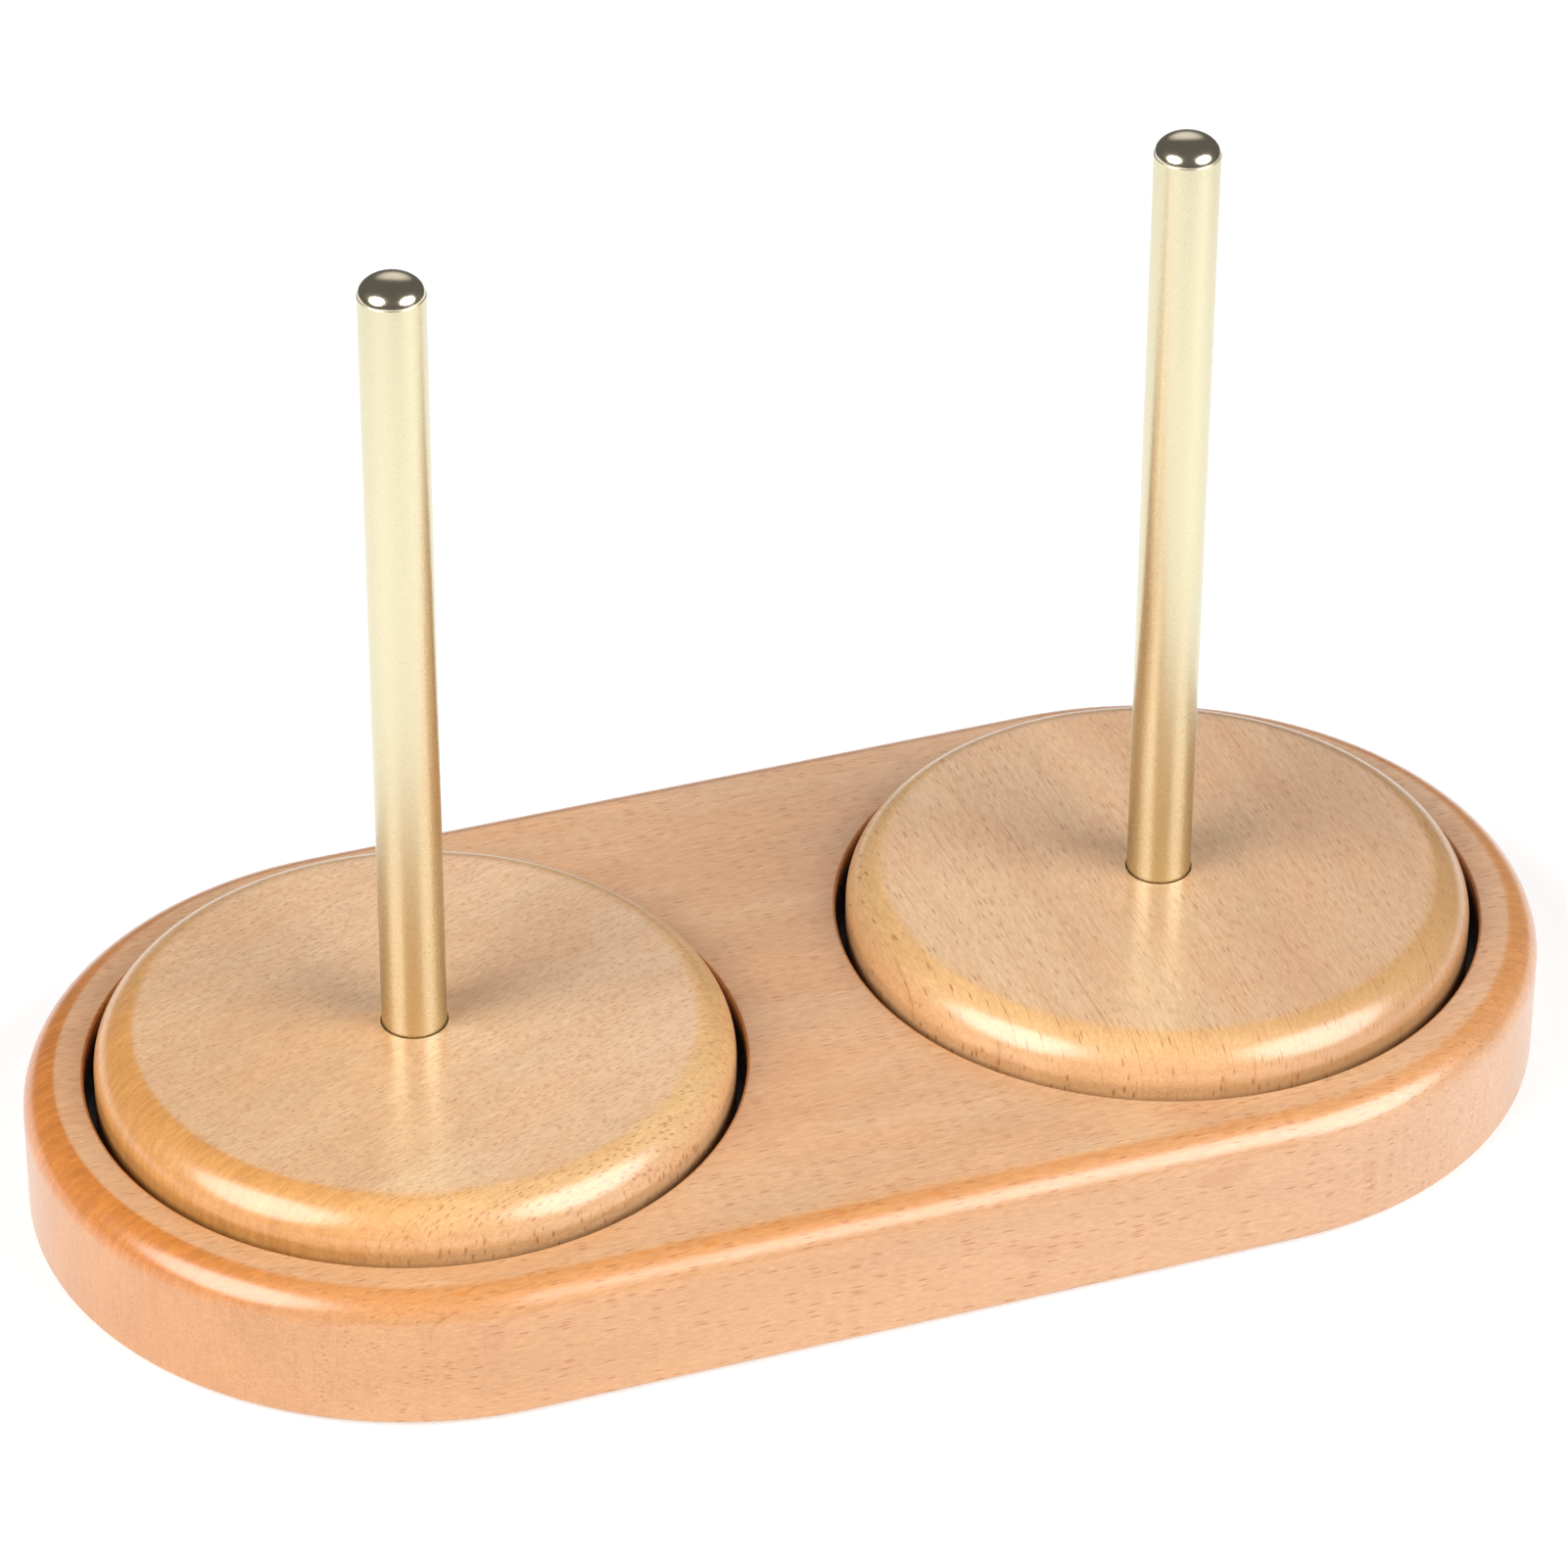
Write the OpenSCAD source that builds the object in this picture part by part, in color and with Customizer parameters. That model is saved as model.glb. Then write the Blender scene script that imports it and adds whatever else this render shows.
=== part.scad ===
// Double yarn holder: a beech base with two wells, and in each well a beech turntable that
// spins on a ball bearing and carries an upright brass rod for one ball of yarn.
// +X runs along the base, +Y away from the viewer and +Z up; z = 0 is the surface it stands on.

/* [Base block] */
// Length of the base over its round ends
base_l = 242; // [236:1:320]
// Width of the base, which is also the diameter of its ends
base_w = 120; // [117:1:128]
// Thickness of the base
base_t = 22.3; // [21.5:0.1:34]
// Radius of the rounded top edge
base_round = 5.5; // [2:0.1:6]
// Radius of the small round on the bottom edge
foot_round = 0.8; // [0.3:0.1:2]
// Depth of the wells that the turntables sit in
well_depth = 10.8; // [9.5:0.1:11.5]
// Radius of the broken edge round each well
well_edge = 0.4; // [0.2:0.1:0.8]

/* [Turntables] */
// Diameter of a turntable disc
disc_d = 98; // [88:1:100]
// Height of the disc's top above the base
disc_proud = 7.8; // [6.8:0.1:14]
// Radius of the rounded rim of the disc
disc_round = 7; // [4:0.1:9]
// Radius of the disc's bottom edge
disc_foot_round = 1; // [0.5:0.1:3]
// Gap between a disc and the wall of its well
well_gap = 1.6; // [1:0.1:2.4]
// Gap between a disc and the floor of its well
under_gap = 1.6; // [1:0.1:2.4]

/* [Rods] */
// Outer diameter of the brass tube
rod_d = 10; // [9:0.1:11]
// Wall of the brass tube
rod_wall = 1; // [0.8:0.1:1.4]
// Height of the rod's tip above the disc
rod_rise = 130.9; // [60:0.1:220]
// Depth to which the rod is let into the disc
rod_seat = 1.5; // [1:0.1:3]
// Gap between the rod and its hole in the disc
rod_hole_gap = 0.3; // [0.2:0.1:0.4]
// Depth of the lead-in taper on the rod's foot
foot_taper = 0.4; // [0.2:0.1:0.6]
// Height above the disc where the taper ends
taper_rise = 0.2; // [0.1:0.1:0.5]
// Height of the domed end
dome_h = 2.9; // [2:0.1:4.8]
// Step by which the dome is narrower than the tube
dome_step = 0.1; // [0.05:0.05:0.2]
// Length of the dome's spigot inside the tube
cap_spigot_l = 8; // [5:1:15]
// Length of the threaded stud inside the tube
stud_in_rod = 14; // [8:1:25]

/* [Spindle hubs] */
// Diameter of the hub's flange under the disc
flange_d = 38; // [35:1:44]
// Thickness of the flange
flange_t = 3; // [2.6:0.1:4]
// Diameter of the barrel inside the disc
barrel_d = 13.5; // [13:0.1:16]
// Diameter of the shoulder that presses on the bearing
shoulder_d = 11; // [10:0.1:11.8]
// Pitch circle of the hub's screws
hub_screw_pcd = 28; // [26:1:30]
// Number of screws in each hub
hub_screw_n = 4; // [3:1:6]
// Length of the hub's wood screws
hub_screw_l = 12; // [9:1:13]
// Diameter of the wood screws
hub_screw_d = 3; // [2.5:0.1:3.2]
// Diameter of their countersunk heads
hub_head_d = 5.6; // [5:0.1:6]

/* [Ball bearings] */
// Bore of the bearing
bearing_bore = 8; // [7.6:0.1:8.4]
// Outside diameter of the bearing
bearing_od = 22; // [21.6:0.1:24]
// Width of the bearing
bearing_w = 7; // [6.6:0.1:7.4]
// Diameter of the balls
ball_d = 3.969; // [3.8:0.001:4.1]
// Number of balls in each bearing
ball_n = 7; // [5:1:7]
// Depth to which each ring's groove holds the balls
race_hold = 0.53; // [0.4:0.01:0.7]
// Thickness of the steel shields
shield_t = 0.3; // [0.2:0.05:0.4]
// Depth of the shields below the faces of the bearing
shield_inset = 0.3; // [0.2:0.05:0.4]
// Width of the wooden ledge that carries the outer ring
ledge_w = 2.5; // [2:0.1:3.2]

/* [Retaining screws] */
// Diameter of the machine screw that clamps the inner ring
retain_d = 4; // [3.5:0.1:4.4]
// Diameter of its pan head
retain_head_d = 7.6; // [7:0.1:8.4]
// Height of the pan head
retain_head_h = 2.3; // [1.6:0.1:2.5]
// Outside diameter of the washer under the bearing
washer_d = 11.6; // [11:0.1:12]
// Thickness of the washer
washer_t = 0.8; // [0.5:0.1:1]

/* [Anti-slip pads] */
// Diameter of a pad
pad_d = 14; // [8:1:18]
// Thickness of a pad
pad_t = 2; // [1.6:0.1:3]
// Height by which the pads stand out below the base
pad_proud = 1; // [0.6:0.1:1.5]
// Distance of the pads from the middle of each round end
pad_reach = 44; // [30:1:47]

/* [Hidden] */
$fn = 96;

// Clearances: slip fits between metal pieces, wood round metal, balls in their grooves,
// and a crowned cage round its balls
slip_gap = 0.02;
wood_gap = 0.1;
race_gap = 0.03;
cage_gap = 0.12;
thread_gap = 0.05;
// Small chamfers on metal edges, and the overshoot of a cut past the face it opens
edge = 0.3;
cut = 1;

// Plan of the base: the axes of the two stations
station_x = (base_l - base_w) / 2;
well_r = disc_d / 2 + well_gap;

// Levels from the floor up
base_z = pad_proud;
top_z = base_z + base_t;
floor_z = top_z - well_depth;
disc_top_z = top_z + disc_proud;
disc_bottom_z = floor_z + under_gap;
disc_t = disc_top_z - disc_bottom_z;
rod_foot_z = disc_top_z - rod_seat;
tip_z = disc_top_z + rod_rise;
dome_z = tip_z - dome_h;
bearing_z = floor_z - bearing_w;

// Bearing radii
pitch_r = (bearing_bore + bearing_od) / 4;
inner_land_r = pitch_r - ball_d / 2 + race_hold;
outer_land_r = pitch_r + ball_d / 2 - race_hold;
shield_seat_w = 0.65;
shield_r = outer_land_r + shield_seat_w;
shield_hole_r = inner_land_r + 0.3;
access_r = bearing_od / 2 - ledge_w;
// The cage is a crown: a ring below the balls with fingers between them
cage_w = 1.5;
cage_web = 0.5;
cage_finger = 1.2;

// Hub heights, and the solid web between its two tapped holes
neck_short = 0.3;
hub_web = 1.8;
web_z = disc_bottom_z + 1.7;
stud_d = rod_d - 2 * rod_wall;
stud_bottom_z = web_z + hub_web + 0.5;
washer_z = bearing_z - washer_t;
retain_top_z = web_z - 1;
hub_bore_r = hub_screw_d / 2 + wood_gap;
head_h = (hub_head_d - hub_screw_d) / 2;
recess_w = 0.9;
recess_depth = 1.1;

// Places one copy of its children on the axis of each station named by sign
module at_station(side) {
    translate([side * station_x, 0, 0])
        children();
}

// A cylinder with both end edges chamfered
module chamfered_rod(r, z0, z1, c) {
    rotate_extrude()
        polygon([[0, z0], [r - c, z0], [r, z0 + c], [r, z1 - c], [r - c, z1], [0, z1]]);
}

// Half section of a round slab of radius r from z0 to z1: top edge rounded by rt, bottom by rb
module slab_section(r, z0, z1, rt, rb) {
    union() {
        translate([0, z0 + rb])
            square([r, z1 - rt - z0 - rb]);
        translate([0, z0])
            square([r - rb, rb]);
        translate([0, z1 - rt])
            square([r - rt, rt]);
        intersection() {
            translate([r - rt, z1 - rt])
                circle(rt);
            translate([r - rt, z1 - rt])
                square([rt, rt]);
        }
        intersection() {
            translate([r - rb, z0 + rb])
                circle(rb);
            translate([r - rb, z0])
                square([rb, rb]);
        }
    }
}

// The outline of the base as a solid: two round ends joined by a straight length
module stadium_slab() {
    for (side = [-1, 1])
        at_station(side)
            rotate_extrude()
                slab_section(base_w / 2, base_z, top_z, base_round, foot_round);
    for (turn = [0, 180])
        rotate([90, 0, 90 + turn])
            translate([0, 0, -station_x])
                linear_extrude(2 * station_x)
                    slab_section(base_w / 2, base_z, top_z, base_round, foot_round);
}

// Everything that is cut on one station's axis: well, bearing pocket and screw access
module station_cut() {
    translate([0, 0, floor_z])
        cylinder(r = well_r, h = well_depth + cut);
    translate([0, 0, top_z - well_edge])
        cylinder(r1 = well_r, r2 = well_r + well_edge + cut, h = well_edge + cut);
    translate([0, 0, bearing_z])
        cylinder(d = bearing_od, h = bearing_w + cut);
    translate([0, 0, base_z - cut])
        cylinder(r = access_r, h = bearing_z - base_z + 2 * cut);
}

// Moves its children to the four places of the pads, on the diagonals of the round ends
module at_pads() {
    for (side = [-1, 1], across = [-1, 1])
        translate([side * (station_x + pad_reach * cos(45)), across * pad_reach * sin(45), 0])
            children();
}

module base_block() {
    color("#dda677")
        difference() {
            stadium_slab();
            for (side = [-1, 1])
                at_station(side)
                    station_cut();
            at_pads()
                cylinder(d = pad_d + 2 * wood_gap, h = pad_t);
        }
}

module anti_slip_pads() {
    color("#3a3836")
        at_pads()
            chamfered_rod(pad_d / 2, 0, pad_t, edge);
}

module turntable_disc() {
    color("#e3bf95")
        difference() {
            rotate_extrude()
                slab_section(disc_d / 2, disc_bottom_z, disc_top_z, disc_round, disc_foot_round);
            translate([0, 0, disc_bottom_z - cut])
                cylinder(d = flange_d + 2 * wood_gap, h = flange_t + cut);
            translate([0, 0, disc_bottom_z])
                cylinder(d = barrel_d + 2 * wood_gap, h = disc_t - rod_seat);
            translate([0, 0, disc_bottom_z])
                cylinder(r = rod_d / 2 + rod_hole_gap, h = disc_t + cut);
            at_hub_screws()
                translate([0, 0, disc_bottom_z])
                    cylinder(d = hub_screw_d, h = hub_screw_l + wood_gap);
        }
}

// Moves its children to the places of the hub's screws
module at_hub_screws() {
    for (i = [0 : hub_screw_n - 1])
        rotate(45 + i * 360 / hub_screw_n)
            translate([hub_screw_pcd / 2, 0, 0])
                children();
}

module spindle_hub() {
    color("#a9abb0")
        difference() {
            union() {
                translate([0, 0, disc_bottom_z])
                    cylinder(d = flange_d, h = flange_t);
                translate([0, 0, disc_bottom_z])
                    cylinder(d = barrel_d, h = rod_foot_z - disc_bottom_z);
                translate([0, 0, floor_z])
                    cylinder(d = shoulder_d, h = under_gap + flange_t / 2);
                translate([0, 0, bearing_z + neck_short])
                    cylinder(r = bearing_bore / 2 - slip_gap, h = bearing_w + under_gap);
            }
            translate([0, 0, web_z + hub_web])
                cylinder(r = stud_d / 2 + thread_gap, h = rod_foot_z - web_z);
            translate([0, 0, bearing_z])
                cylinder(r = retain_d / 2 + thread_gap, h = web_z - bearing_z);
            at_hub_screws()
                translate([0, 0, disc_bottom_z - cut])
                    cylinder(r = hub_bore_r, h = flange_t + 2 * cut);
            at_hub_screws()
                translate([0, 0, disc_bottom_z - wood_gap])
                    cylinder(r1 = hub_head_d / 2 + wood_gap, r2 = hub_screw_d / 2, h = head_h + wood_gap);
        }
}

// Cross-shaped driver recess, cut upwards into a head whose face is at z = 0
module driver_recess(span) {
    for (turn = [0, 90])
        rotate(turn)
            translate([-span / 2, -recess_w / 2, -cut])
                cube([span, recess_w, recess_depth + cut]);
}

module hub_screws() {
    shank_r = hub_screw_d / 2;
    point_l = hub_screw_d;
    color("#8f9196")
        at_hub_screws()
            translate([0, 0, disc_bottom_z])
                difference() {
                    rotate_extrude()
                        polygon([
                            [0, 0], [hub_head_d / 2, 0], [shank_r, head_h],
                            [shank_r, hub_screw_l - point_l], [0, hub_screw_l]
                        ]);
                    driver_recess(hub_head_d * 0.55);
                }
}

module rod_tube() {
    bore_r = stud_d / 2;
    color("#d9b25f")
        rotate_extrude()
            polygon([
                [bore_r, rod_foot_z], [rod_d / 2 - foot_taper, rod_foot_z],
                [rod_d / 2, disc_top_z + taper_rise], [rod_d / 2, dome_z - dome_step],
                [rod_d / 2 - dome_step, dome_z], [bore_r, dome_z]
            ]);
}

// The dome is half of an oblate spheroid, in narrow conical bands
module rod_cap() {
    dome_r = rod_d / 2 - dome_step;
    spigot_r = stud_d / 2;
    spigot_z = dome_z - cap_spigot_l;
    bands = 18;
    color("#e6d7a0")
        rotate_extrude()
            polygon(concat(
                [[0, spigot_z], [spigot_r - edge, spigot_z], [spigot_r, spigot_z + edge], [spigot_r, dome_z]],
                [for (i = [0:bands]) [dome_r * cos(90 * i / bands), dome_z + dome_h * sin(90 * i / bands)]]
            ));
}

module rod_stud() {
    color("#8f9196")
        chamfered_rod(stud_d / 2, stud_bottom_z, rod_foot_z + stud_in_rod, edge);
}

// The torus of the ball track, centred in the bearing
module ball_track() {
    rotate_extrude()
        translate([pitch_r, bearing_z + bearing_w / 2])
            circle(ball_d / 2 + race_gap);
}

module bearing_outer_ring() {
    seat_z = shield_inset + shield_t;
    z1 = floor_z;
    z0 = bearing_z;
    r = bearing_od / 2;
    color("#b9bcc2")
        difference() {
            rotate_extrude()
                polygon([
                    [shield_r, z0], [r - edge, z0], [r, z0 + edge], [r, z1 - edge], [r - edge, z1],
                    [shield_r, z1], [shield_r, z1 - seat_z], [outer_land_r, z1 - seat_z],
                    [outer_land_r, z0 + seat_z], [shield_r, z0 + seat_z]
                ]);
            ball_track();
        }
}

module bearing_inner_ring() {
    z1 = floor_z;
    z0 = bearing_z;
    r = bearing_bore / 2;
    color("#b9bcc2")
        difference() {
            rotate_extrude()
                polygon([
                    [r, z0 + edge], [r + edge, z0], [inner_land_r, z0], [inner_land_r, z1],
                    [r + edge, z1], [r, z1 - edge]
                ]);
            ball_track();
        }
}

// Moves its children to the centres of the balls
module at_balls() {
    for (i = [0 : ball_n - 1])
        rotate(i * 360 / ball_n)
            translate([pitch_r, 0, bearing_z + bearing_w / 2])
                children();
}

module bearing_balls() {
    color("#d5d8dd")
        at_balls()
            sphere(d = ball_d);
}

module bearing_cage() {
    pocket_r = ball_d / 2 + cage_gap;
    web_bottom = bearing_z + bearing_w / 2 - pocket_r - cage_web;
    finger_top = bearing_z + bearing_w / 2 + cage_finger;
    color("#6f6a5c")
        difference() {
            rotate_extrude()
                translate([pitch_r - cage_w / 2, web_bottom])
                    square([cage_w, finger_top - web_bottom]);
            at_balls()
                sphere(pocket_r);
        }
}

// One steel shield, whose lower face is at z
module shield(z) {
    color("#c9ccd1")
        translate([0, 0, z])
            difference() {
                cylinder(r = shield_r, h = shield_t);
                translate([0, 0, -cut])
                    cylinder(r = shield_hole_r, h = shield_t + 2 * cut);
            }
}

module bearing_upper_shield() {
    shield(floor_z - shield_inset - shield_t);
}

module bearing_lower_shield() {
    shield(bearing_z + shield_inset);
}

module retaining_washer() {
    color("#c2c4c8")
        translate([0, 0, washer_z])
            difference() {
                cylinder(d = washer_d, h = washer_t);
                translate([0, 0, -cut])
                    cylinder(r = retain_d / 2 + wood_gap, h = washer_t + 2 * cut);
            }
}

module retaining_screw() {
    head_z = washer_z - retain_head_h;
    head_r = retain_head_d / 2;
    shank_r = retain_d / 2;
    color("#8f9196")
        difference() {
            rotate_extrude()
                polygon([
                    [0, head_z], [head_r - retain_head_h / 3, head_z], [head_r, head_z + retain_head_h / 2],
                    [head_r, washer_z], [shank_r, washer_z], [shank_r, retain_top_z - edge],
                    [shank_r - edge, retain_top_z], [0, retain_top_z]
                ]);
            translate([0, 0, head_z])
                driver_recess(retain_head_d * 0.55);
        }
}

base_block();
anti_slip_pads();
at_station(-1) turntable_disc();  // turntable_disc_left
at_station(1) turntable_disc();  // turntable_disc_right
at_station(-1) spindle_hub();  // spindle_hub_left
at_station(1) spindle_hub();  // spindle_hub_right
at_station(-1) hub_screws();  // hub_screws_left
at_station(1) hub_screws();  // hub_screws_right
at_station(-1) rod_tube();  // rod_tube_left
at_station(1) rod_tube();  // rod_tube_right
at_station(-1) rod_cap();  // rod_cap_left
at_station(1) rod_cap();  // rod_cap_right
at_station(-1) rod_stud();  // rod_stud_left
at_station(1) rod_stud();  // rod_stud_right
at_station(-1) bearing_outer_ring();  // bearing_outer_ring_left
at_station(1) bearing_outer_ring();  // bearing_outer_ring_right
at_station(-1) bearing_inner_ring();  // bearing_inner_ring_left
at_station(1) bearing_inner_ring();  // bearing_inner_ring_right
at_station(-1) bearing_balls();  // bearing_balls_left
at_station(1) bearing_balls();  // bearing_balls_right
at_station(-1) bearing_cage();  // bearing_cage_left
at_station(1) bearing_cage();  // bearing_cage_right
at_station(-1) bearing_upper_shield();  // bearing_upper_shield_left
at_station(1) bearing_upper_shield();  // bearing_upper_shield_right
at_station(-1) bearing_lower_shield();  // bearing_lower_shield_left
at_station(1) bearing_lower_shield();  // bearing_lower_shield_right
at_station(-1) retaining_washer();  // retaining_washer_left
at_station(1) retaining_washer();  // retaining_washer_right
at_station(-1) retaining_screw();  // retaining_screw_left
at_station(1) retaining_screw();  // retaining_screw_right
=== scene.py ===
from math import cos, radians, sin, tan, tau

import bmesh
import bpy
from bpy.props import FloatProperty, FloatVectorProperty, PointerProperty
from mathutils import Matrix, Vector


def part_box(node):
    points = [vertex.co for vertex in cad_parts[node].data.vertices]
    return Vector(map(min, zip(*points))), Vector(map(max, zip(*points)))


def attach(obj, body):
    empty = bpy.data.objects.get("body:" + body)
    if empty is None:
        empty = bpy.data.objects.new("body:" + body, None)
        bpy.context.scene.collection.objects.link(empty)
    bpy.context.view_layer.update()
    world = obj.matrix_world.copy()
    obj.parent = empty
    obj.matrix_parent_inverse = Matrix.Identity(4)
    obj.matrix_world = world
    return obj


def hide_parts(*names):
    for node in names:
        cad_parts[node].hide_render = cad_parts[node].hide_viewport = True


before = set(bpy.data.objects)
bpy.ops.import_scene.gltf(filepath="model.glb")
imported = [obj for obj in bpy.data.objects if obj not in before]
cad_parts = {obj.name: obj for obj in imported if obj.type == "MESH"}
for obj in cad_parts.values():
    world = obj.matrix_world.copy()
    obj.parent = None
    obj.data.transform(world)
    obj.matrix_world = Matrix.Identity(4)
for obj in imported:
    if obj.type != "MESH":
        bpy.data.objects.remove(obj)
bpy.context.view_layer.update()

bl_info = {
    "name": "Double yarn holder",
    "version": (1, 0, 0),
    "blender": (4, 5, 0),
    "location": "3D View > Sidebar > Yarn holder",
    "description": "Finishes the packed yarn holder in beech, brass and steel, in a plain studio",
    "category": "Object",
}

MM = 0.001
# How near two heights or radii are when they count as the same
CLOSE = 0.01 * MM
SIDES = ("left", "right")

# What the frame says about the places of the pieces
BOARD_LOW, BOARD_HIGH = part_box("base_block")
DISC_LOW, DISC_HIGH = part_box("turntable_disc_left")
TUBE_LOW, TUBE_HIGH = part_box("rod_tube_left")
CAP_LOW, CAP_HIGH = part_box("rod_cap_left")
PAD_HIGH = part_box("anti_slip_pads")[1]
RING_LOW, RING_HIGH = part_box("bearing_outer_ring_left")
FLANGE_LOW, FLANGE_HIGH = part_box("spindle_hub_left")
STATION = {side: (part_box(f"rod_tube_{side}")[0].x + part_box(f"rod_tube_{side}")[1].x) / 2 for side in SIDES}

END_RADIUS = (BOARD_HIGH.y - BOARD_LOW.y) / 2
DISC_RADIUS = (DISC_HIGH.x - DISC_LOW.x) / 2
ROD_RADIUS = (TUBE_HIGH.x - TUBE_LOW.x) / 2
BEARING_RADIUS = (RING_HIGH.x - RING_LOW.x) / 2


def linear(hex_colour):
    """An sRGB hex colour as linear red, green and blue with full alpha."""
    channels = [int(hex_colour[i : i + 2], 16) / 255 for i in (1, 3, 5)]
    return tuple(c / 12.92 if c <= 0.04045 else ((c + 0.055) / 1.055) ** 2.4 for c in channels) + (1.0,)


def length(name, description, default_mm):
    """A property for a length, given in millimetres and kept in metres."""
    return FloatProperty(
        name=name, description=description, default=default_mm * MM, min=0, unit="LENGTH", precision=5
    )


def colour(name, description, default_hex):
    """A property for a colour, given as sRGB hex."""
    return FloatVectorProperty(
        name=name, description=description, default=linear(default_hex), size=4, min=0, max=1, subtype="COLOR"
    )


def radiance(name, description, default):
    """A property for a brightness, where 1 shows as white."""
    return FloatProperty(name=name, description=description, default=default, min=0)


class BoardSettings(bpy.types.PropertyGroup):
    top_round: length("Top round", "Radius of the rounded top edge", 5.5)
    foot_round: length("Foot round", "Radius of the bottom edge", 0.8)
    well_gap: length("Well gap", "Gap between a disc and the wall of its well", 1.6)
    well_edge: length("Well edge", "Radius of the broken edge round a well", 0.5)
    well_floor: length("Well floor gap", "Gap between a disc and the floor of its well", 1.6)
    # Painted shadow: below this depth the wood inside a well is coloured near black, for the shade in the deep
    # gap round a disc
    well_shade: length("Well shade", "Depth below which the bare wood of a well is dark", 3)
    ledge: length("Ledge", "Width of the wooden ledge under the bearing", 2.5)
    pad_gap: length("Pad gap", "Gap between a pad and its recess", 0.1)
    pad_sink: length("Pad depth", "Depth of the recess that holds a pad", 1.0)
    pad_reach: length("Pad reach", "Distance of the pads from the middle of each round end", 44)
    # The face and blush colours are partly the beech's own colour and partly a painted reflection: they are
    # paler for the sheen the lacquered flat faces catch from the room
    face: colour("Face", "Steamed beech on the flat faces", "#CA9C72")
    blush: colour("Blush", "Redder clouds on the flat faces", "#CB986B")
    edge: colour("Edge", "Burnished wood on the rounded edge", "#C58852")
    side: colour("Side", "Steamed beech on the sides", "#BC8B60")
    end: colour("End grain", "End grain, which takes the lacquer deepest", "#BF7632")
    fleck: colour("Fleck", "Rays that show as short brown dashes", "#A5683A")


class TurntableSettings(bpy.types.PropertyGroup):
    rim_round: length("Rim round", "Radius of the rounded rim", 7)
    foot_round: length("Foot round", "Radius of the bottom edge", 1)
    hole_gap: length("Hole gap", "Gap between the rod and its hole", 0.16)
    hole_edge: length("Hole edge", "Radius of the edge of the rod's hole", 0.12)
    # The face and blush colours are partly the beech's own colour and partly a painted reflection: they are
    # paler for the sheen the lacquered flat faces catch from the room
    face: colour("Face", "Natural beech on the flat faces", "#C9A27A")
    blush: colour("Blush", "Redder clouds on the flat faces", "#CA9D73")
    edge: colour("Edge", "Burnished wood on the rounded rim", "#CA9D69")
    side: colour("Side", "Natural beech on the side", "#C79768")
    end: colour("End grain", "End grain, which takes the lacquer deepest", "#C68945")
    fleck: colour("Fleck", "Rays that show as short brown dashes", "#A3683A")


class RodSettings(bpy.types.PropertyGroup):
    wall: length("Tube wall", "Wall of the brass tube", 1)
    taper: length("Foot taper", "Depth of the lead-in taper on the foot of the tube", 0.4)
    taper_rise: length("Taper rise", "Height above the disc where the taper ends", 0.2)
    step: length("Dome step", "Step by which the dome is narrower than the tube", 0.1)
    satin: colour("Satin brass", "Reflection colour of the brushed brass", "#E2DAB9")
    polished: colour("Polished brass", "Reflection colour of the polished dome", "#E6DABE")


class HardwareSettings(bpy.types.PropertyGroup):
    zinc: colour("Zinc plate", "Reflection colour of bright zinc plate", "#C3C6CA")
    steel: colour("Bearing steel", "Reflection colour of ground bearing steel", "#CFD1D4")
    cage: colour("Cage nylon", "Colour of the moulded cage", "#6B665A")
    rubber: colour("Pad rubber", "Colour of the pads", "#33312F")


class StudioSettings(bpy.types.PropertyGroup):
    floor: colour("Floor", "Colour of the floor", "#C8C8C8")
    table: radiance("Light table", "Brightness of the floor, lit from below", 0.48)
    softbox_left: radiance("Left softbox", "Brightness of the soft light on the left", 7.3)
    softbox_right: radiance("Right softbox", "Brightness of the soft light on the right", 6.8)
    backdrop: radiance("Backdrop", "Brightness of the pale panel behind the object", 0.9)
    room: radiance("Room", "Brightness of the dim room", 0.13)


# Materials

def add(tree, kind, inputs=None, **settings):
    """Adds one node and returns its outputs: settings are its own properties, and inputs its sockets, each a
    value or another node's socket."""
    made = tree.nodes.new(kind)
    for name, value in settings.items():
        setattr(made, name, value)
    for key, value in (inputs or {}).items():
        socket = made.inputs[key]
        if isinstance(value, bpy.types.NodeSocket):
            tree.links.new(value, socket)
        else:
            socket.default_value = value
    return made.outputs


def mixed(tree, factor, first, second, kind="MIX"):
    """Mixes two colours."""
    return add(tree, "ShaderNodeMix", {0: factor, 6: first, 7: second}, data_type="RGBA", blend_type=kind)[2]


def blank_material(name):
    """An empty node material and its tree."""
    material = bpy.data.materials.new(name)
    material.use_nodes = True
    material.node_tree.nodes.clear()
    return material, material.node_tree


def fine_noise(tree, size_mm, detail):
    """A noise with features of one size all over a piece."""
    place = add(tree, "ShaderNodeTexCoord")["Object"]
    inputs = {"Vector": place, "Scale": 1 / (size_mm * MM), "Detail": detail}
    return add(tree, "ShaderNodeTexNoise", inputs)["Fac"]


def finish_surface(tree, **sockets):
    """Ends a material with one Principled shader, its sockets named with underscores for spaces."""
    named = {key.replace("_", " "): value for key, value in sockets.items()}
    shader = add(tree, "ShaderNodeBsdfPrincipled", named)
    add(tree, "ShaderNodeOutputMaterial", {"Surface": shader[0]})


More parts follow.
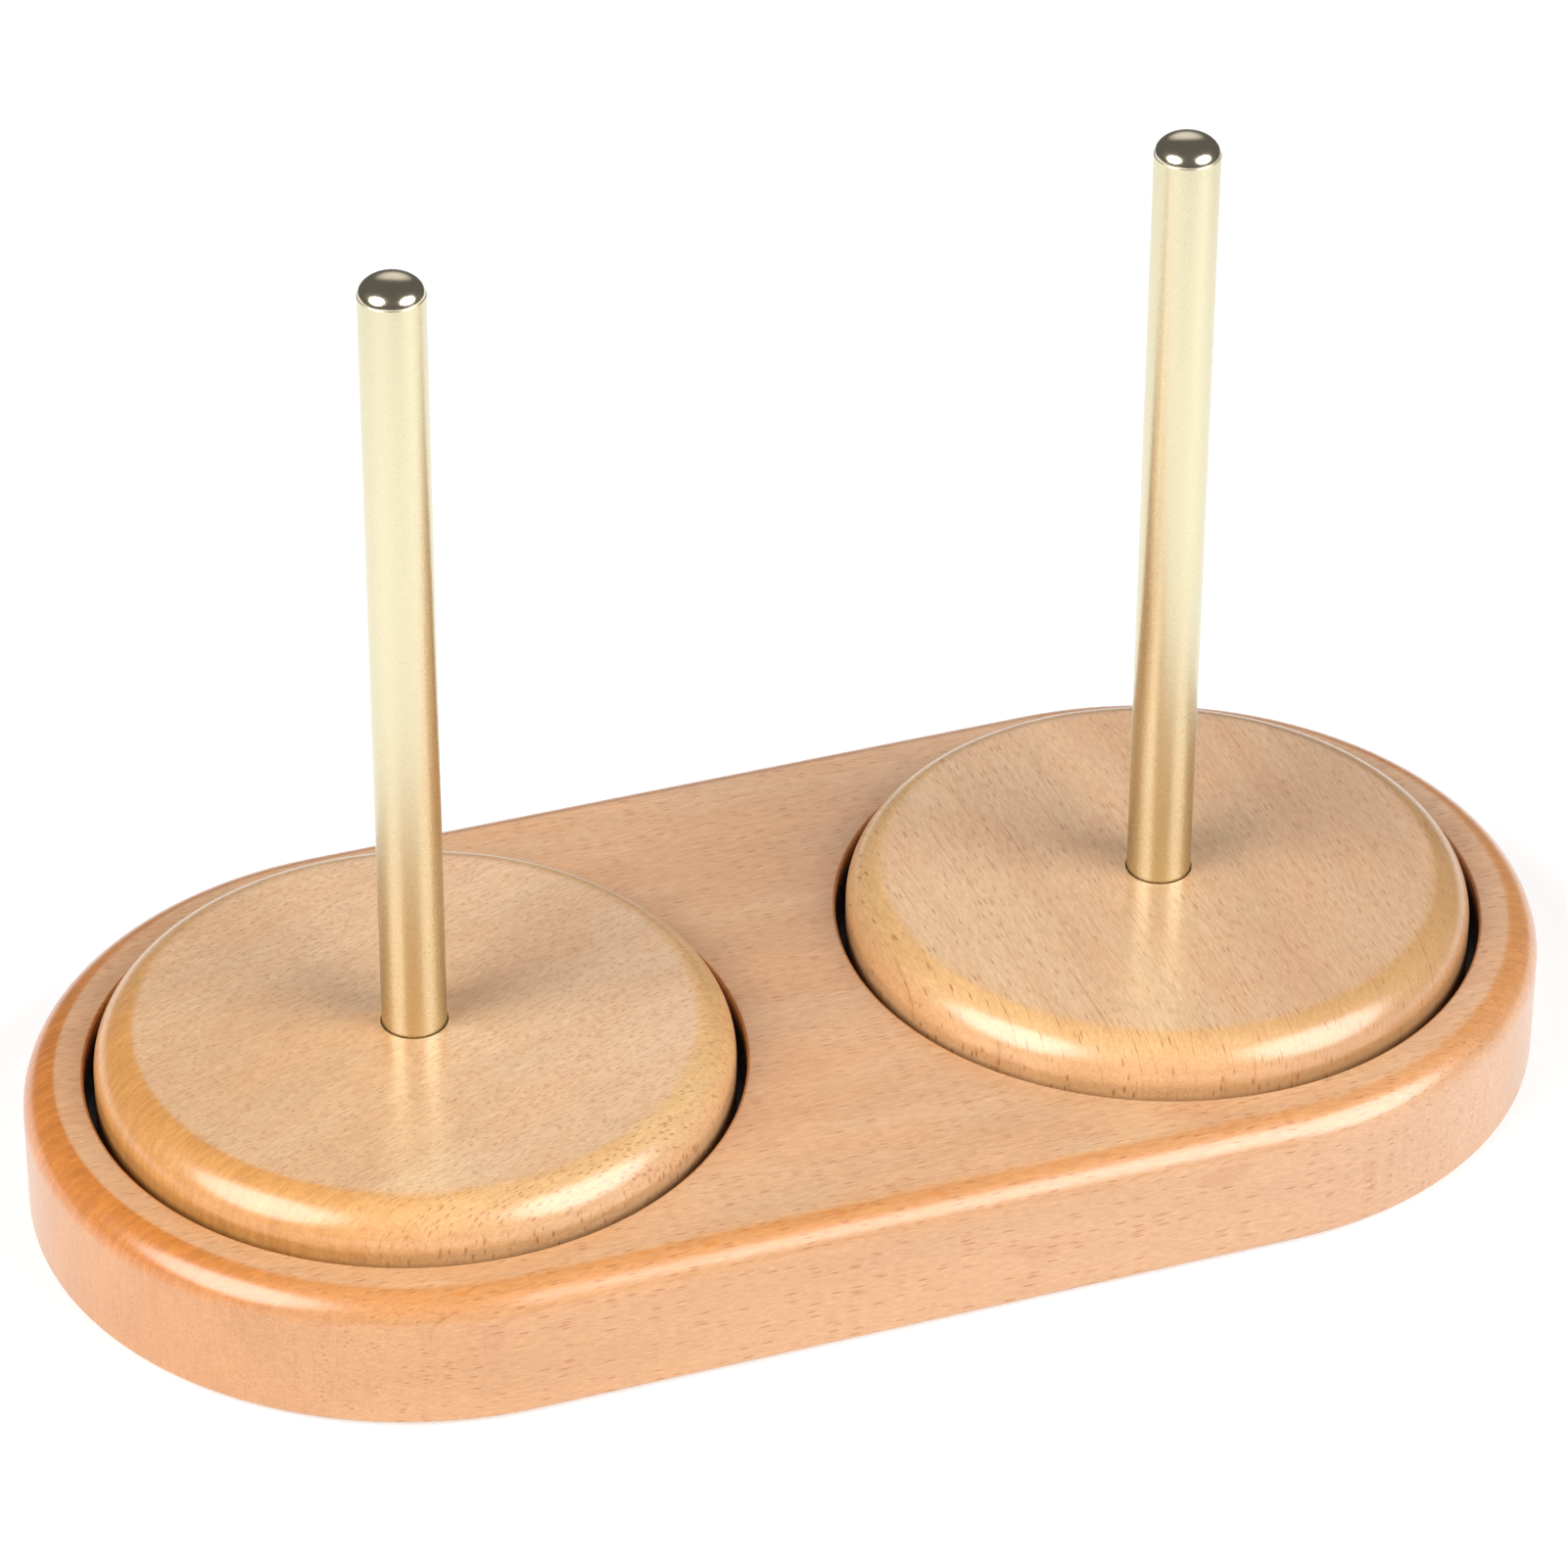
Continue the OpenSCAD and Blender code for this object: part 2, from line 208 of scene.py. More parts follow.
def lacquered_beech(
    name, wood, centre, reach, grain_turn, dash_mm, tick_mm, dash_share, line_depth, end_depth, end_low,
    painted_light_shift, seed,
):
    """Beech, sanded on its faces and routed at its edges, under satin lacquer. It shows soft growth bands,
    silky strokes along the grain and the short brown dashes of its rays, which stand upright as ticks on a
    side, and a deeper orange where the routed edges and the end grain took more lacquer. The grain runs along
    X before it is turned about Z.

    centre and reach: the middle of the piece on X, and how far it reaches from there
    dash_mm, tick_mm, dash_share: the spacings of dashes and ticks, and the part of them that shows
    line_depth: how dark the long fine lines along the grain are
    end_depth, end_low: how deep the end grain is coloured at the edge, and how much of that stays on the side
    painted_light_shift: painted light, the colours that multiply the wood at its left and at its right end, so
    that one end looks lighter and paler, as more light and reflection fall there
    seed: moves the whole pattern, so that no two pieces are alike
    """
    # The sizes of the patterns along the grain, across it and upwards
    band_mm, blush_mm, stroke_mm, fibre_mm = (60, 9, 12), (24, 9, 9), (4, 0.8, 0.8), (1.8, 0.3, 0.3)
    mottle_mm, blotch_mm, cut_mm, line_mm = (3, 2.2, 2.2), (6, 2.5, 2.5), (5, 0.9, 5), (20, 0.45, 8)
    painted_shadow_colour = (0.014, 0.011, 0.014, 1.0)
    plain = (1.0, 1.0, 1.0, 1.0)
    material, tree = blank_material(name)
    place = add(tree, "ShaderNodeTexCoord")["Object"]
    centred = add(tree, "ShaderNodeMapping", {"Vector": place, "Location": (-centre, 0, 0)})[0]
    grain = add(tree, "ShaderNodeMapping", {"Vector": centred, "Rotation": (0, 0, -grain_turn)})[0]

    def painted(attribute):
        """A value that paint() stored on the piece."""
        return add(tree, "ShaderNodeAttribute", attribute_name=attribute)["Fac"]

    def stretched(size_mm, shift):
        """The place in a pattern of this size. Each pattern has its own shift, so that no two line up."""
        scale = [1 / (size * MM) for size in size_mm]
        inputs = {"Vector": grain, "Scale": scale, "Location": (seed + shift,) * 3}
        return add(tree, "ShaderNodeMapping", inputs)[0]

    def noise(size_mm, shift, detail=2.0, roughness=0.5):
        inputs = {"Vector": stretched(size_mm, shift), "Scale": 1.0, "Detail": detail, "Roughness": roughness}
        return add(tree, "ShaderNodeTexNoise", inputs)["Fac"]

    def math(operation, *values):
        return add(tree, "ShaderNodeMath", dict(enumerate(values)), operation=operation)[0]

    def ramp(value, low, high, to_low=0.0, to_high=1.0):
        inputs = {"Value": value, "From Min": low, "From Max": high, "To Min": to_low, "To Max": to_high}
        return add(tree, "ShaderNodeMapRange", inputs, interpolation_type="SMOOTHSTEP")[0]

    def blend(factor, first, second, kind="MIX"):
        return mixed(tree, factor, first, second, kind)

    def rays(size_mm, shift):
        """The dashes: one in each cell, of which a share shows, each as dark as its cell's chance value."""
        inputs = {"Vector": stretched(size_mm, shift), "Scale": 1.0, "Randomness": 1.0}
        cells = add(tree, "ShaderNodeTexVoronoi", inputs)
        chance = add(tree, "ShaderNodeSeparateColor", {0: cells["Color"]})[0]
        dark = ramp(chance, 1 - dash_share, 1 - dash_share / 2)
        return math("MULTIPLY", ramp(cells["Distance"], 0.14, 0.4, 1.0, 0.0), dark)

    # The colour of each zone: flat faces, start of a rounded edge, sides, end grain, and a painted shadow deep
    # inside the wells
    tilt, end_grain, inside = (painted(attribute) for attribute in ("tilt", "end_grain", "inside"))
    mottle = math("SUBTRACT", noise(mottle_mm, 41.0, 3.0, 0.6), 0.5)
    blush = noise(blush_mm, 53.0)
    # Flat faces: their colours are partly painted reflection, paler for the sheen of the room on the lacquer
    face = blend(ramp(blush, 0.35, 0.65), wood.face, wood.blush)
    rim = ramp(math("ADD", tilt, math("MULTIPLY", mottle, 0.02)), 0.004, 0.035)
    lower = math("ADD", tilt, math("MULTIPLY", mottle, 0.5))
    zone = blend(rim, face, wood.edge)
    zone = blend(ramp(lower, 0.15, 0.65), zone, wood.side)
    across = add(tree, "ShaderNodeSeparateXYZ", {0: centred})[0]
    fading = ramp(across, -reach, reach, end_depth, 0.5 * end_depth)
    end_share = math("MULTIPLY", ramp(tilt, 0.0, 0.015), fading)
    ends = math("MULTIPLY", ramp(math("ADD", end_grain, math("MULTIPLY", mottle, 0.4)), 0.05, 0.8), end_share)
    ends_shown = math("MULTIPLY", ends, ramp(tilt, 0.65, 1.0, 1.0, end_low))
    zone = blend(ends_shown, zone, wood.end)
    blotches = ramp(noise(blotch_mm, 61.0), 0.6, 0.72, 0.0, 0.6 * end_depth)
    routed_top = math("MULTIPLY", ramp(tilt, 0.0, 0.02), ramp(tilt, 0.1, 0.3, 1.0, 0.0))
    zone = blend(math("MULTIPLY", blotches, routed_top), zone, wood.end)
    # Painted shadow: deep inside a well the wood is coloured near black, standing in for the shade in the
    # narrow gap round a disc
    zone = blend(math("MULTIPLY", inside, 0.85), zone, painted_shadow_colour)

    # Slow bands and fine strokes along the grain
    fibres = noise(fibre_mm, 3.0, 3.0, 0.65)
    tone = 1.0
    bands, strokes = noise(band_mm, 7.0, 3.0), noise(stroke_mm, 13.0, 2.0)
    for pattern, depth in ((bands, 0.05), (strokes, 0.04), (fibres, 0.11)):
        tone = math("MULTIPLY", tone, ramp(pattern, 0.3, 0.7, 1 - depth, 1 + depth))
    # The cut ends of the fibres show as strokes across the edge
    cut = ramp(noise(cut_mm, 71.0, 3.0), 0.3, 0.7, -0.13, 0.13)
    tone = math("MULTIPLY_ADD", math("MULTIPLY", cut, ends_shown), tone, tone)
    # Dark lines are redder than pale ones
    channels = {0: math("POWER", tone, 0.8), 1: tone, 2: math("POWER", tone, 1.3)}
    grey = add(tree, "ShaderNodeCombineColor", channels)[0]
    # Painted light: the wood is multiplied by one colour at its left end and another at its right, half as
    # much on the flat faces, so that one end looks lighter and paler where more light and reflection fall
    painted_light_colour = blend(ramp(across, -reach, reach), *((*shade, 1.0) for shade in painted_light_shift))
    painted_light_colour = blend(ramp(tilt, 0.0, 0.04, 0.5, 1.0), plain, painted_light_colour)
    silky = blend(1.0, blend(1.0, zone, grey, "MULTIPLY"), painted_light_colour, "MULTIPLY")

    # Rays: dashes on the faces and the rounded edges, upright ticks on the sides
    upright = ramp(tilt, 0.55, 0.8)
    dashes = math("MULTIPLY", rays(dash_mm, 11.0), math("SUBTRACT", 1.0, upright))
    ticks = math("MULTIPLY", rays(tick_mm, 19.0), upright)
    flecks = math("ADD", dashes, ticks)
    flecks = math("MULTIPLY", flecks, math("SUBTRACT", 1.0, ends))
    shown = math("MULTIPLY", flecks, ramp(tilt, 0.0, 0.1, 0.65, 0.8))
    coloured = blend(shown, silky, wood.fleck)
    lines = ramp(noise(line_mm, 83.0), 0.6, 0.72, 0.0, line_depth)
    coloured = blend(lines, coloured, wood.fleck)

    # The lacquer sinks a little into the rays and the strokes
    height = math("SUBTRACT", math("MULTIPLY", fibres, 0.6), flecks)
    bump = add(tree, "ShaderNodeBump", {"Height": height, "Strength": 0.3, "Distance": 0.05 * MM})[0]
    finish_surface(
        tree, Base_Color=coloured, Roughness=0.5, IOR=1.5, Specular_IOR_Level=0.3, Normal=bump,
        Coat_Weight=1.0, Coat_Roughness=0.24, Coat_IOR=1.6,
    )
    return material


def metal(name, tone, roughness, grit_mm, anisotropic=0.0):
    """Metal with a fine worked surface: grit_mm is the size of its marks, drawn coarse enough to show. An
    anisotropic surface is brushed round the rod, which draws its highlights out into stripes along it."""
    material, tree = blank_material(name)
    marks = fine_noise(tree, grit_mm, 3.0)
    spread = {"From Min": 0.3, "From Max": 0.7, "To Min": roughness * 0.85, "To Max": roughness * 1.15}
    rough = add(tree, "ShaderNodeMapRange", {"Value": marks, **spread})[0]
    bump = add(tree, "ShaderNodeBump", {"Height": marks, "Strength": 0.06, "Distance": 0.01 * MM})[0]
    sockets = {"Base_Color": tone, "Metallic": 1.0, "Roughness": rough, "Normal": bump}
    if anisotropic:
        sockets["Anisotropic"] = anisotropic
        sockets["Anisotropic_Rotation"] = 0.25
        sockets["Tangent"] = add(tree, "ShaderNodeTangent", direction_type="RADIAL", axis="Z")[0]
    finish_surface(tree, **sockets)
    return material


def matt(name, tone, roughness, grain_mm):
    """Moulded rubber or plastic: a dull even colour with a fine texture from the mould."""
    material, tree = blank_material(name)
    grains = fine_noise(tree, grain_mm, 2.0)
    darker = tuple(0.8 * channel for channel in tone[:3]) + (1.0,)
    shade = mixed(tree, grains, tone, darker)
    bump = add(tree, "ShaderNodeBump", {"Height": grains, "Strength": 0.3, "Distance": 0.03 * MM})[0]
    finish_surface(tree, Base_Color=shade, Roughness=roughness, Normal=bump)
    return material


# Shapes

def points(geometry):
    """The vertices among the parts that an operator returns."""
    return [part for part in geometry if isinstance(part, bmesh.types.BMVert)]


def edges(geometry):
    """The edges among the parts that an operator returns."""
    return [part for part in geometry if isinstance(part, bmesh.types.BMEdge)]


def level_edges(candidates, height):
    """The edges that lie flat at one height."""
    return [edge for edge in candidates if all(abs(corner.co.z - height) < CLOSE for corner in edge.verts)]


def round_edges(shape, rim, size, segments):
    """Rounds edges of a shape."""
    bmesh.ops.bevel(
        shape, geom=rim, offset=size, segments=segments, profile=0.5, affect="EDGES", material=-1,
        offset_type="OFFSET",
    )


def spin_full(shape, corners, sides, axis_x, steps):
    """Turns an outline once round a vertical axis."""
    bmesh.ops.spin(
        shape, geom=corners + sides, cent=(axis_x, 0, 0), axis=(0, 0, 1), angle=tau, steps=steps,
        use_merge=True,
    )


def turned(outline, axis_x, steps):
    """A closed outline of (radius, height) points, turned once round a vertical axis at axis_x."""
    shape = bmesh.new()
    corners = [shape.verts.new((axis_x + radius, 0, height)) for radius, height in outline]
    sides = [shape.edges.new(pair) for pair in zip(corners, corners[1:] + corners[:1])]
    spin_full(shape, corners, sides, axis_x, steps)
    bmesh.ops.remove_doubles(shape, verts=shape.verts, dist=0.0001 * MM)
    bmesh.ops.recalc_face_normals(shape, faces=shape.faces)
    return shape


def round_off(shape, axis_x, radius, height, size, segments):
    """Rounds the circular edge at one radius and height of a turned shape."""

    def at_radius(corner):
        return abs((Vector((axis_x, 0)) - corner.co.xy).length - radius) < CLOSE

    level = level_edges(shape.edges, height)
    ring = [edge for edge in level if all(at_radius(corner) for corner in edge.verts)]
    round_edges(shape, ring, size, segments)


def add_piece(name, shape, material, body, slot, *nodes, smooth_angle=30, weighted=True):
    """Makes an object of a finished shape: it rides on a body and stands for CAD nodes."""
    for face in shape.faces:
        face.smooth = True
    for edge in shape.edges:
        edge.smooth = edge.calc_face_angle(0) < radians(smooth_angle)
    mesh = bpy.data.meshes.new(name)
    shape.to_mesh(mesh)
    shape.free()
    mesh.materials.append(material)
    piece = bpy.data.objects.new(name, mesh)
    bpy.context.scene.collection.objects.link(piece)
    if weighted:
        modifier = piece.modifiers.new("even_shading", "WEIGHTED_NORMAL")
        modifier.keep_sharp = True
    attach(piece, body)
    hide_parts(*nodes)
    return piece


def paint(piece, grain_turn, wells=()):
    """Stores on a wooden piece what its material reads: how far each point tilts from level, how far its
    level bearing lies along the grain, and whether it lies deep inside a well, where the material paints
    shadow, given as (axis_x, radius, top)."""
    along = Vector((cos(grain_turn), sin(grain_turn), 0))
    clear = 0.1 * MM
    mesh = piece.data
    names = ("tilt", "end_grain", "inside")
    layers = {name: mesh.attributes.new(name, "FLOAT", "POINT").data for name in names}
    for index, corner in enumerate(mesh.vertices):
        layers["tilt"][index].value = 1 - corner.normal.z
        level = corner.normal.xy.length
        layers["end_grain"][index].value = (corner.normal.dot(along) / level) ** 2 if level > 0.01 else 0
        for axis_x, radius, top in wells:
            within = (corner.co.xy - Vector((axis_x, 0))).length < radius + clear
            if within and BOARD_LOW.z + clear < corner.co.z < top:
                layers["inside"][index].value = 1


def dress(material, *nodes):
    """Gives carried-over CAD nodes their material."""
    for name in nodes:
        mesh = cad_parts[name].data
        mesh.materials.clear()
        mesh.materials.append(material)


# Operators

class YARN_OT_board(bpy.types.Operator):
    """Models the beech base with its wells, bearing pockets and pad recesses"""

    bl_idname = "yarn_holder.board"
    bl_label = "Base board"

    def execute(self, context):
        board = context.scene.yarn_board
        arc_steps = 96
        round_steps = 16
        top, bottom = BOARD_HIGH.z, BOARD_LOW.z
        well_radius = DISC_RADIUS + board.well_gap
        well_floor = DISC_LOW.z - board.well_floor
        access_radius = BEARING_RADIUS - board.ledge
        pad_radius = (PAD_HIGH.x - STATION["right"]) - board.pad_reach * cos(radians(45)) + board.pad_gap

        # The outside: an outline with two round ends, drawn up and rounded at top and bottom
        shape = bmesh.new()
        for side, start in (("right", -1), ("left", 1)):
            first = shape.verts.new((STATION[side], start * END_RADIUS, bottom))
            bmesh.ops.spin(
                shape, geom=[first], cent=(STATION[side], 0, 0), axis=(0, 0, 1), angle=tau / 2,
                steps=arc_steps,
            )
        shape.verts.ensure_lookup_table()
        ends = [corner for corner in shape.verts if len(corner.link_edges) == 1]
        for sign in (-1, 1):
            shape.edges.new([corner for corner in ends if corner.co.y * sign > 0])
        bmesh.ops.contextual_create(shape, geom=shape.edges[:])
        lifted = bmesh.ops.extrude_face_region(shape, geom=shape.faces[:])["geom"]
        bmesh.ops.translate(shape, vec=(0, 0, top - bottom), verts=points(lifted))
        flat = [face for face in shape.faces if abs(face.normal.z) > 0.5 or len(face.verts) > 4]
        bmesh.ops.delete(shape, geom=flat, context="FACES_ONLY")
        for level in (top, bottom):
            bmesh.ops.contextual_create(shape, geom=level_edges(shape.edges, level))
        bmesh.ops.recalc_face_normals(shape, faces=shape.faces)
        for level, size, segments in ((top, board.top_round, round_steps), (bottom, board.foot_round, 4)):
            round_edges(shape, level_edges(shape.edges, level), size, segments)
        flat = [face for face in shape.faces if len(face.verts) > 4]
        bmesh.ops.delete(shape, geom=flat, context="FACES_ONLY")

        # The wells and pockets, each turned as one cavity, and the recesses of the pads
        for side in SIDES:
            cavity = turned_cavity(
                shape,
                STATION[side],
                [
                    (well_radius, top),
                    (well_radius, top - board.well_shade),
                    (well_radius, well_floor),
                    (BEARING_RADIUS, well_floor),
                    (BEARING_RADIUS, RING_LOW.z),
                    (access_radius, RING_LOW.z),
                    (access_radius, bottom),
                ],
                arc_steps * 2,
            )
            widen_rim(shape, level_edges(cavity, top), STATION[side], well_radius, board.well_edge)
        for side, across in ((s, a) for s in SIDES for a in (-1, 1)):
            outwards = 1 if side == "right" else -1
            reach = board.pad_reach * cos(radians(45))
            centre = Vector((STATION[side] + outwards * reach, across * reach, 0))
            pad_recess(shape, centre, pad_radius, bottom, board.pad_sink)

        # The flat faces round all these holes
        for level, facing in ((top, 1), (bottom, -1)):
            loose = [edge for edge in level_edges(shape.edges, level) if edge.is_boundary]
            bmesh.ops.triangle_fill(
                shape, edges=loose, use_beauty=True, use_dissolve=False, normal=(0, 0, facing)
            )
        bmesh.ops.recalc_face_normals(shape, faces=shape.faces)
        beech = lacquered_beech(
            "steamed_beech_satin_lacquer", board, centre=0.0, reach=BOARD_HIGH.x, grain_turn=0.0,
            dash_mm=(3.0, 0.5, 0.5), tick_mm=(3.5, 0.6, 0.6), dash_share=0.5, line_depth=0.25,
            end_depth=1.0, end_low=0.35, painted_light_shift=((1.0, 0.96, 0.86), (1.0, 1.08, 1.25)), seed=2.0,
        )
        piece = add_piece("beech_board", shape, beech, "base", "base_beech", "base_block")
        paint(piece, 0.0, [(STATION[side], well_radius, top - board.well_shade / 2) for side in SIDES])
        return {"FINISHED"}


def turned_cavity(shape, axis_x, outline, steps):
    """Turns an open outline round a vertical axis inside a shape, and returns the new edges."""
    corners = [shape.verts.new((axis_x + radius, 0, height)) for radius, height in outline]
    sides = [shape.edges.new(pair) for pair in zip(corners, corners[1:])]
    before = set(shape.edges) - set(sides)
    spin_full(shape, corners, sides, axis_x, steps)
    return [edge for edge in shape.edges if edge not in before]


def widen_rim(shape, rim, axis_x, radius, size):
    """Breaks the edge of a well: its rim moves out and the wall below it follows in a small round."""
    segments = 5
    for step in range(segments):
        drop = size * (1 - sin(tau / 4 * (step + 1) / segments))
        out = size * (1 - cos(tau / 4 * (step + 1) / segments))
        ring = bmesh.ops.extrude_edge_only(shape, edges=rim)["geom"]
        for corner in points(ring):
            arm = corner.co.xy - Vector((axis_x, 0))
            arm *= (radius + out) / arm.length
            corner.co.x, corner.co.y = axis_x + arm.x, arm.y
            corner.co.z = BOARD_HIGH.z - drop
        if step == 0:
            for edge in rim:
                for corner in edge.verts:
                    corner.co.z = BOARD_HIGH.z - size
        rim = edges(ring)


def pad_recess(shape, centre, radius, level, depth):
    """A round blind recess in the underside, closed at its top."""
    steps = 64
    start = Matrix.Translation((centre.x, centre.y, level))
    circle = bmesh.ops.create_circle(shape, cap_ends=False, segments=steps, radius=radius, matrix=start)
    ring = circle["verts"]
    mouth = list(dict.fromkeys(edge for corner in ring for edge in corner.link_edges))
    walls = bmesh.ops.extrude_edge_only(shape, edges=mouth)["geom"]
    bmesh.ops.translate(shape, vec=(0, 0, depth), verts=points(walls))
    bmesh.ops.contextual_create(shape, geom=edges(walls))


class YARN_OT_turntables(bpy.types.Operator):
    """Models the two beech discs, each with a rounded rim and a hole for its rod"""

    bl_idname = "yarn_holder.turntables"
    bl_label = "Turntables"

    def execute(self, context):
        disc = context.scene.yarn_turntables
        top, bottom = DISC_HIGH.z, DISC_LOW.z
        hole_radius = ROD_RADIUS + disc.hole_gap
        seat = TUBE_LOW.z
        flange_radius = (FLANGE_HIGH.x - FLANGE_LOW.x) / 2
        steps = 192
        looks = {
            "left": {
                "grain_turn": radians(18),
                "dash_mm": (1.6, 0.38, 3.0), "tick_mm": (0.8, 0.8, 2.4), "dash_share": 1.0,
                "line_depth": 0.15,
                "end_depth": 0.75, "end_low": 1.0, "painted_light_shift": ((1.0, 0.97, 0.88), (1.05, 1.15, 1.3)),
            },
            "right": {
                "grain_turn": radians(90),
                "dash_mm": (3.0, 0.45, 3.0), "tick_mm": (0.8, 0.8, 2.4), "dash_share": 0.4,
                "line_depth": 0.4,
                "end_depth": 0.0, "end_low": 0.0, "painted_light_shift": ((1.12, 1.14, 1.14), (0.77, 0.74, 0.71)),
            },
        }
        for number, side in enumerate(SIDES):
            x = STATION[side]
            outline = [
                (hole_radius, seat),
                (hole_radius, top),
                (DISC_RADIUS, top),
                (DISC_RADIUS, bottom),
                (flange_radius, bottom),
                (flange_radius, seat),
            ]
            shape = turned(outline, x, steps)
            round_off(shape, x, DISC_RADIUS, top, disc.rim_round, 20)
            round_off(shape, x, DISC_RADIUS, bottom, disc.foot_round, 5)
            round_off(shape, x, hole_radius, top, disc.hole_edge, 3)
            beech = lacquered_beech(
                f"natural_beech_satin_lacquer_{side}", disc, centre=x, reach=DISC_RADIUS,
                seed=31.0 + 17 * number, **looks[side],
            )
            piece = add_piece(
                f"beech_disc_{side}", shape, beech, f"turntable_{side}", "disc_beech",
                f"turntable_disc_{side}",
            )
            paint(piece, looks[side]["grain_turn"])
        return {"FINISHED"}


class YARN_OT_rods(bpy.types.Operator):
    """Models the two brushed brass tubes and their polished domed ends"""

    bl_idname = "yarn_holder.rods"
    bl_label = "Rods"

    def execute(self, context):
        rod = context.scene.yarn_rods
        steps = 128
        bore = ROD_RADIUS - rod.wall
        dome_radius = ROD_RADIUS - rod.step
        joint_z = TUBE_HIGH.z
        dome_height = CAP_HIGH.z - joint_z
        dome_steps = 24
        satin = metal("brushed_brass", rod.satin, 0.3, 0.25, anisotropic=0.5)
        polished = metal("polished_brass", rod.polished, 0.17, 0.8)
        for side in SIDES:
            x = STATION[side]
            tube = [
                (bore, TUBE_LOW.z),
                (ROD_RADIUS - rod.taper, TUBE_LOW.z),
                (ROD_RADIUS, DISC_HIGH.z + rod.taper_rise),
                (ROD_RADIUS, joint_z - rod.step),
                (dome_radius, joint_z),
                (bore, joint_z),
            ]
            add_piece(
                f"brass_tube_{side}", turned(tube, x, steps), satin, f"turntable_{side}", "rod_brass",
                f"rod_tube_{side}", weighted=False,
            )
            angles = [tau / 4 * step / dome_steps for step in range(dome_steps)]
            dome = [(dome_radius * cos(a), joint_z + dome_height * sin(a)) for a in angles]
            cap = [(0, CAP_LOW.z), (bore, CAP_LOW.z), (bore, joint_z)] + dome + [(0, CAP_HIGH.z)]
            add_piece(
                f"brass_dome_{side}", turned(cap, x, steps), polished, f"turntable_{side}", "cap_brass",
                f"rod_cap_{side}", weighted=False,
            )
        return {"FINISHED"}


ZINC_PLATED = ("spindle_hub", "hub_screws", "rod_stud", "retaining_washer", "retaining_screw")
GROUND_STEEL = ("bearing_outer_ring", "bearing_inner_ring", "bearing_upper_shield", "bearing_lower_shield")


class YARN_OT_hardware(bpy.types.Operator):
    """Finishes the steel, nylon and rubber pieces that the frame brings"""

    bl_idname = "yarn_holder.hardware"
    bl_label = "Hardware"

    def execute(self, context):
        hardware = context.scene.yarn_hardware
        zinc = metal("zinc_plated_steel", hardware.zinc, 0.35, 0.4)
        steel = metal("ground_bearing_steel", hardware.steel, 0.25, 0.3)
        ball = metal("polished_ball_steel", hardware.steel, 0.06, 1.0)
        nylon = matt("moulded_nylon", hardware.cage, 0.55, 0.3)
        rubber = matt("moulded_rubber", hardware.rubber, 0.85, 0.4)
        dress(rubber, "anti_slip_pads")
        for side in SIDES:
            dress(zinc, *(f"{name}_{side}" for name in ZINC_PLATED))
            dress(steel, *(f"{name}_{side}" for name in GROUND_STEEL))
            dress(ball, f"bearing_balls_{side}")
            dress(nylon, f"bearing_cage_{side}")
        return {"FINISHED"}


# The photograph's camera, from a fit to the outlines of the base, the wells, the discs and the rods
PHOTO_PIXELS = 1601
CAMERA_AZIMUTH = -19.777
CAMERA_ELEVATION = 34.719
CAMERA_ROLL = 0.263
CAMERA_DISTANCE = 1158.86 * MM
CAMERA_TARGET = (18.0 * MM, 54.09 * MM, 21.0 * MM)
CAMERA_FOCAL_PIXELS = 7313.4


def towards(azimuth, elevation):
    """Unit vector towards a place round the object: azimuth 0 is in front, at -Y, and grows to the right."""
    a, e = radians(azimuth), radians(elevation)
    return Vector((sin(a) * cos(e), -cos(a) * cos(e), sin(e)))


